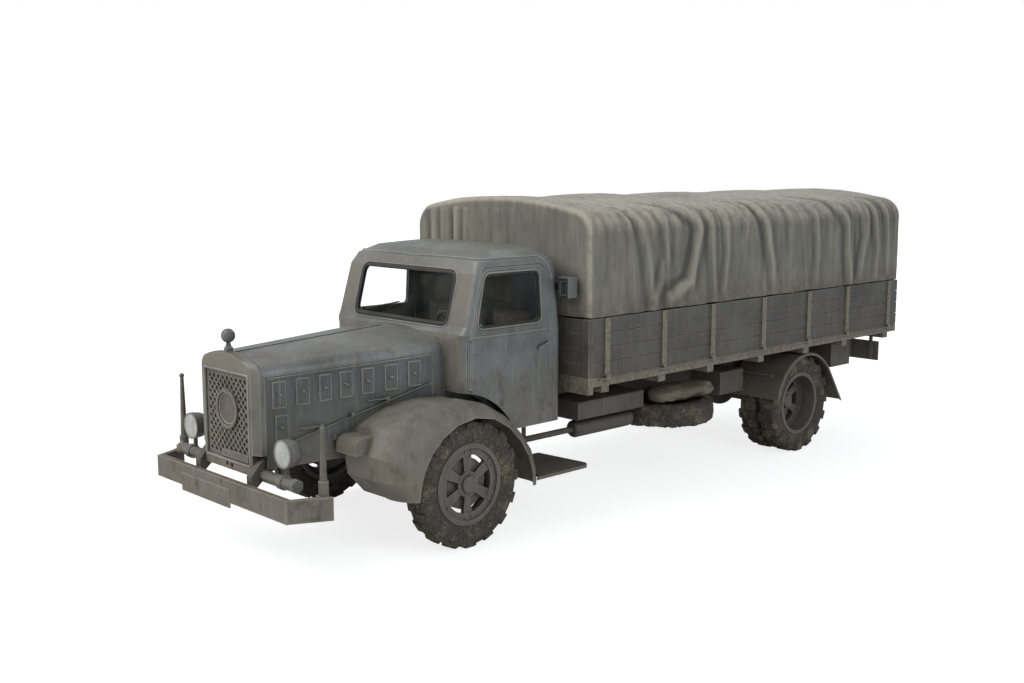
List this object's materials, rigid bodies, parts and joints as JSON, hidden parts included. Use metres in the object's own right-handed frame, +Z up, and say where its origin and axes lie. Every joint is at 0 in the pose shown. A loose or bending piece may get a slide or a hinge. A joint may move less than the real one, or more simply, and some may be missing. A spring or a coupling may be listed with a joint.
{
  "type": "military cargo truck",
  "caption": "Bonneted cargo truck with an all-steel cab, drop-side bed, canvas cover on bows and block-lug tyres.",
  "frame": {"origin": "on the ground under the middle of the truck's box", "axes": "+X forward along the truck, +Y to the truck's left, +Z up"},
  "size_m": [7.98, 2.288, 2.69],
  "materials": {
    "tyre": "worn matte, dusty",
    "wheel_paint": "dusty matte paint",
    "chassis_paint": "matte dark paint",
    "engine_metal": "matte",
    "body_paint": "worn satin grey",
    "front_paint": "weathered grey with dust",
    "fender_paint": "dusty matte grey",
    "window_glass": "clear",
    "lamp_lens": "frosted, dusty",
    "seat_cover": "worn",
    "black_plastic": "matte",
    "bed_board": "worn matte grey on planks",
    "box_paint": "dusty matte grey",
    "canvas": "heavy faded canvas",
    "bow_steel": "dull"
  },
  "bodies": {
    "chassis": {"spare_wheel": "wheel_paint", "chassis_frame": "chassis_paint", "cross_members": "chassis_paint", "leaf_springs": "chassis_paint", "front_axle": "chassis_paint", "rear_axle": "chassis_paint", "exhaust": "chassis_paint", "engine_block": "engine_metal", "radiator_core": "engine_metal", "hood_sides": "body_paint", "cab_shell": "body_paint", "signal_boxes": "body_paint", "front_bumper": "front_paint", "radiator_shell": "front_paint", "radiator_grille": "front_paint", "headlamps": "front_paint", "front_fenders": "fender_paint", "rear_fenders": "fender_paint", "step_plates": "fender_paint", "cab_glass": "window_glass", "headlamp_lenses": "lamp_lens", "seats": "seat_cover", "steering_wheel": "black_plastic", "bed_floor": "bed_board", "side_boxes": "box_paint", "rear_boxes": "box_paint", "tarp": "canvas", "stowed_roll": "canvas", "tarp_bows": "bow_steel"},
    "hood_left": {"hood_top_left": "body_paint"},
    "hood_right": {"hood_top_right": "body_paint"},
    "door_left": {"left_door": "body_paint", "left_door_glass": "window_glass"},
    "door_right": {"right_door": "body_paint", "right_door_glass": "window_glass"},
    "gate_left": {"left_drop_side": "bed_board"},
    "gate_right": {"right_drop_side": "bed_board"},
    "gate_rear": {"tailgate": "bed_board"},
    "knuckle_left": {"left_knuckle": "chassis_paint"},
    "knuckle_right": {"right_knuckle": "chassis_paint"},
    "steering_rod": {"tie_rod": "chassis_paint"},
    "wheel_front_left": {"front_left_tyre": "tyre", "front_left_wheel": "wheel_paint"},
    "wheel_front_right": {"front_right_tyre": "tyre", "front_right_wheel": "wheel_paint"},
    "wheel_rear_left": {"rear_left_tyre": "tyre", "rear_left_wheel": "wheel_paint"},
    "wheel_rear_right": {"rear_right_tyre": "tyre", "rear_right_wheel": "wheel_paint"}
  },
  "joints": [
    {"name": "steer_left", "type": "hinge", "parent": "chassis", "child": "knuckle_left", "pos_m": [2.384, 0.745, 0.506], "axis": [0, 0, 1], "range_deg": [-30, 30]},
    {"name": "steer_right", "type": "hinge", "parent": "chassis", "child": "knuckle_right", "pos_m": [2.384, -0.745, 0.506], "axis": [0, 0, 1], "range_deg": [-30, 30]},
    {"name": "tie_rod_swing", "type": "hinge", "parent": "knuckle_left", "child": "steering_rod", "pos_m": [2.184, 0.745, 0.405], "axis": [0, 0, 1], "range_deg": [-30, 30]},
    {"name": "front_left_spin", "type": "hinge", "parent": "knuckle_left", "child": "wheel_front_left", "pos_m": [2.384, 0.943, 0.506], "axis": [0, 1, 0], "continuous": true},
    {"name": "front_right_spin", "type": "hinge", "parent": "knuckle_right", "child": "wheel_front_right", "pos_m": [2.384, -0.943, 0.506], "axis": [0, 1, 0], "continuous": true},
    {"name": "rear_left_spin", "type": "hinge", "parent": "chassis", "child": "wheel_rear_left", "pos_m": [-2.216, 0.814, 0.506], "axis": [0, 1, 0], "continuous": true},
    {"name": "rear_right_spin", "type": "hinge", "parent": "chassis", "child": "wheel_rear_right", "pos_m": [-2.216, -0.814, 0.506], "axis": [0, 1, 0], "continuous": true},
    {"name": "left_door_hinge", "type": "hinge", "parent": "chassis", "child": "door_left", "pos_m": [2.26, 0.866, 1.4], "axis": [0, 0, -1], "range_deg": [0, 70]},
    {"name": "right_door_hinge", "type": "hinge", "parent": "chassis", "child": "door_right", "pos_m": [2.26, -0.866, 1.4], "axis": [0, 0, 1], "range_deg": [0, 70]},
    {"name": "left_bonnet_hinge", "type": "hinge", "parent": "chassis", "child": "hood_left", "pos_m": [2.414, 0, 1.662], "axis": [0.9984, 0, -0.0566], "range_deg": [0, 60]},
    {"name": "right_bonnet_hinge", "type": "hinge", "parent": "chassis", "child": "hood_right", "pos_m": [2.414, 0, 1.662], "axis": [-0.9984, 0, 0.0566], "range_deg": [0, 60]},
    {"name": "left_drop_side_hinge", "type": "hinge", "parent": "chassis", "child": "gate_left", "pos_m": [-1.4, 1.131, 1.172], "axis": [-1, 0, 0], "range_deg": [0, 175]},
    {"name": "right_drop_side_hinge", "type": "hinge", "parent": "chassis", "child": "gate_right", "pos_m": [-1.4, -1.131, 1.172], "axis": [1, 0, 0], "range_deg": [0, 175]},
    {"name": "tailgate_hinge", "type": "hinge", "parent": "chassis", "child": "gate_rear", "pos_m": [-3.977, 0, 1.172], "axis": [0, -1, 0], "range_deg": [0, 175]}
  ],
  "couplings": [
    {"joint": "steer_right", "follows": "steer_left", "ratio": 1},
    {"joint": "tie_rod_swing", "follows": "steer_left", "ratio": -1}
  ]
}
